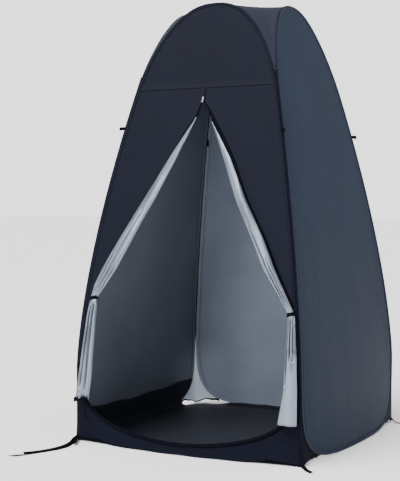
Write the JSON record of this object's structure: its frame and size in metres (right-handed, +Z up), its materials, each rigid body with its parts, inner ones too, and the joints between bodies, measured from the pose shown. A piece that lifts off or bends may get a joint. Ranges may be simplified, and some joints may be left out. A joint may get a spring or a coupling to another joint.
{
  "type": "pop-up privacy shower tent",
  "caption": "Tall square pop-up privacy tent: hooped fabric walls, arched roof, zipped front door tied open, loose floor, guy loops and corner peg straps.",
  "frame": {"origin": "on the ground, middle of the groundsheet's underside", "axes": "+Z up, -Y out of the door, +X to the right of someone facing +Y"},
  "size_m": [1.4207, 1.7904, 2.1409],
  "materials": {
    "navy_fabric": "matte coated polyester taffeta, navy black",
    "slate_fabric": "matte coated polyester taffeta, slate blue",
    "silver_lining": "satin silver coating",
    "floor_fabric": "coated oxford cloth, black",
    "black_webbing": "matte woven tape",
    "spring_steel": "bright drawn wire",
    "zip_metal": "nickel plated"
  },
  "bodies": {
    "front": {"front_hoop": "spring_steel", "front_hoop_ferrule": "spring_steel", "front_sleeve": "black_webbing", "front_valance": "navy_fabric", "door_flap_left": "navy_fabric", "door_flap_right": "navy_fabric", "door_gather_left": "silver_lining", "door_gather_right": "silver_lining", "door_tie_left": "black_webbing", "door_tie_right": "black_webbing", "zip_coil": "black_webbing", "zip_slider": "zip_metal", "front_skirt": "navy_fabric", "groundsheet": "floor_fabric", "roof_gore_front": "slate_fabric", "gusset_front_left": "navy_fabric", "gusset_front_right": "navy_fabric", "guy_loop_front_left": "black_webbing", "guy_loop_front_right": "black_webbing", "peg_strap_front_left": "black_webbing", "peg_strap_front_right": "black_webbing"},
    "right": {"right_hoop": "spring_steel", "right_hoop_ferrule": "spring_steel", "right_sleeve": "black_webbing", "right_panel": "slate_fabric", "roof_gore_right": "slate_fabric", "gusset_rear_right": "navy_fabric", "guy_loop_rear_right": "black_webbing", "peg_strap_rear_right": "black_webbing"},
    "left": {"left_hoop": "spring_steel", "left_hoop_ferrule": "spring_steel", "left_sleeve": "black_webbing", "left_panel": "slate_fabric", "roof_gore_left": "slate_fabric", "gusset_rear_left": "navy_fabric", "guy_loop_rear_left": "black_webbing", "inner_hanging_loop": "black_webbing", "peg_strap_rear_left": "black_webbing"},
    "rear": {"rear_hoop": "spring_steel", "rear_hoop_ferrule": "spring_steel", "rear_sleeve": "black_webbing", "rear_panel": "slate_fabric", "roof_gore_rear": "slate_fabric"},
    "zip_pull": {"zip_pull": "zip_metal"},
    "peg": {"peg_front_left": "spring_steel"}
  },
  "joints": [
    {"name": "fold_right", "type": "hinge", "parent": "front", "child": "right", "pos_m": [0.602, -0.602, 0], "axis": [-0.1467, 0.1467, 0.9782], "range_deg": [0, 82], "stiffness_Nm_per_rad": 1.5, "deforming": ["roof_gore_front", "roof_gore_right", "gusset_front_right", "gusset_rear_right", "groundsheet", "peg_strap_rear_right", "peg_strap_front_right"]},
    {"name": "fold_left", "type": "hinge", "parent": "front", "child": "left", "pos_m": [-0.71, -0.71, 0], "axis": [0.1467, 0.1467, 0.9782], "range_deg": [0, 83], "deforming": ["roof_gore_left", "gusset_front_left", "peg_strap_front_left"]},
    {"name": "fold_rear", "type": "hinge", "parent": "left", "child": "rear", "pos_m": [-0.602, 0.602, 0], "axis": [0.1467, -0.1467, 0.9782], "range_deg": [-83, 0], "deforming": ["roof_gore_rear", "gusset_rear_left", "peg_strap_rear_left"]},
    {"name": "zip_pull_swing", "type": "hinge", "parent": "front", "child": "zip_pull", "pos_m": [0, -0.40321, 1.67149], "axis": [-1, 0, 0], "range_deg": [0, 150]},
    {"name": "peg_swing", "type": "hinge", "parent": "front", "child": "peg", "pos_m": [-0.6212, -1.0046, 0.0027], "axis": [-0.7848, 0.6198, 0], "range_deg": [0, 80]}
  ],
  "couplings": [
    {"joint": "fold_left", "follows": "fold_right", "ratio": 1},
    {"joint": "fold_rear", "follows": "fold_right", "ratio": -0.97}
  ]
}
